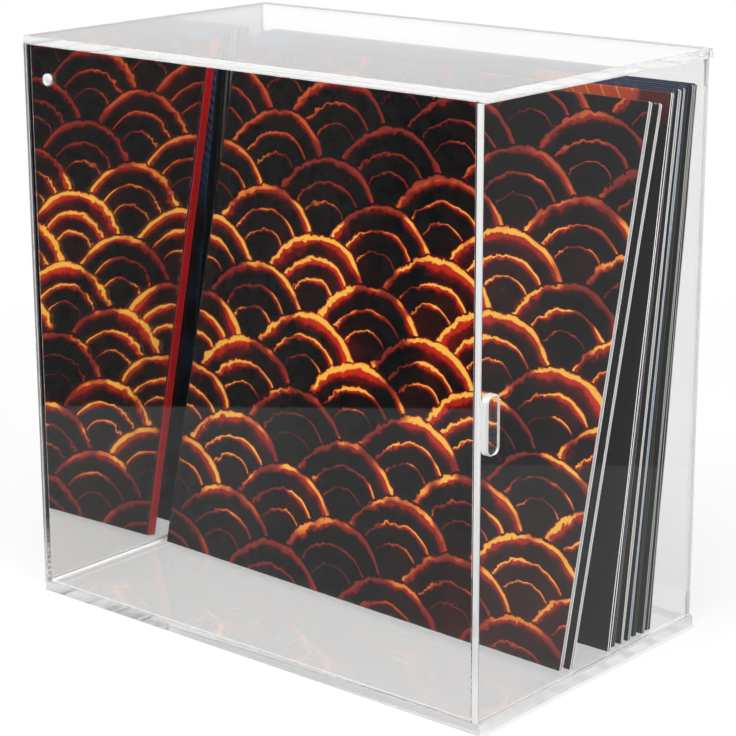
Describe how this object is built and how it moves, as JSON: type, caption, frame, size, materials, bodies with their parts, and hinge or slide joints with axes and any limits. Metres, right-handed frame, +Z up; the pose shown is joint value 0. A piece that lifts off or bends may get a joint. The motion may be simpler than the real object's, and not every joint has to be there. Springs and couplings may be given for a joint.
{
  "type": "record display case",
  "caption": "Clear acrylic box with a side-hinged door, a mirrored end wall and leaning record sleeves, for showing twelve-inch records.",
  "frame": {"origin": "centre of the base panel's underside, where the case stands", "axes": "+Z up, -Y towards the clear front panel, +X towards the door with its pull, -X towards the mirror"},
  "size_m": [0.3337, 0.202, 0.335],
  "materials": {
    "acrylic": "polished",
    "mirror": "polished",
    "bright_metal": "satin",
    "pin_steel": "satin",
    "washer": "satin",
    "sleeve_navy": "satin",
    "sleeve_grey": "satin",
    "sleeve_dark": "satin",
    "sleeve_blue": "satin",
    "sleeve_orange": "satin",
    "sleeve_red": "satin",
    "sleeve_front": "satin"
  },
  "bodies": {
    "case": {"base_panel": "acrylic", "top_panel": "acrylic", "front_panel": "acrylic", "rear_panel": "acrylic", "mirror_sheet": "acrylic", "mirror_backing": "mirror", "corner_disc": "bright_metal", "washer_bottom": "washer", "sleeve_1": "sleeve_navy", "sleeve_2": "sleeve_grey", "sleeve_3": "sleeve_dark", "sleeve_4": "sleeve_blue", "sleeve_5": "sleeve_dark", "sleeve_6": "sleeve_dark", "sleeve_7": "sleeve_orange"},
    "door": {"door_panel": "acrylic", "door_handle": "acrylic", "hinge_pin_bottom": "pin_steel", "hinge_pin_top": "pin_steel", "washer_top": "washer"},
    "front_sleeve": {"sleeve_second": "sleeve_dark", "sleeve_spine": "sleeve_red", "sleeve_front": "sleeve_front"}
  },
  "joints": [
    {"name": "door_swing", "type": "hinge", "parent": "case", "child": "door", "pos_m": [0.1621, 0.099, 0.006], "axis": [0, 0, 1], "range_deg": [0, 180]},
    {"name": "front_sleeve_tip", "type": "hinge", "parent": "case", "child": "front_sleeve", "pos_m": [0.00169, -0.00461, 0.006], "axis": [0.9994, -0.034, 0], "range_deg": [0, 12]}
  ]
}
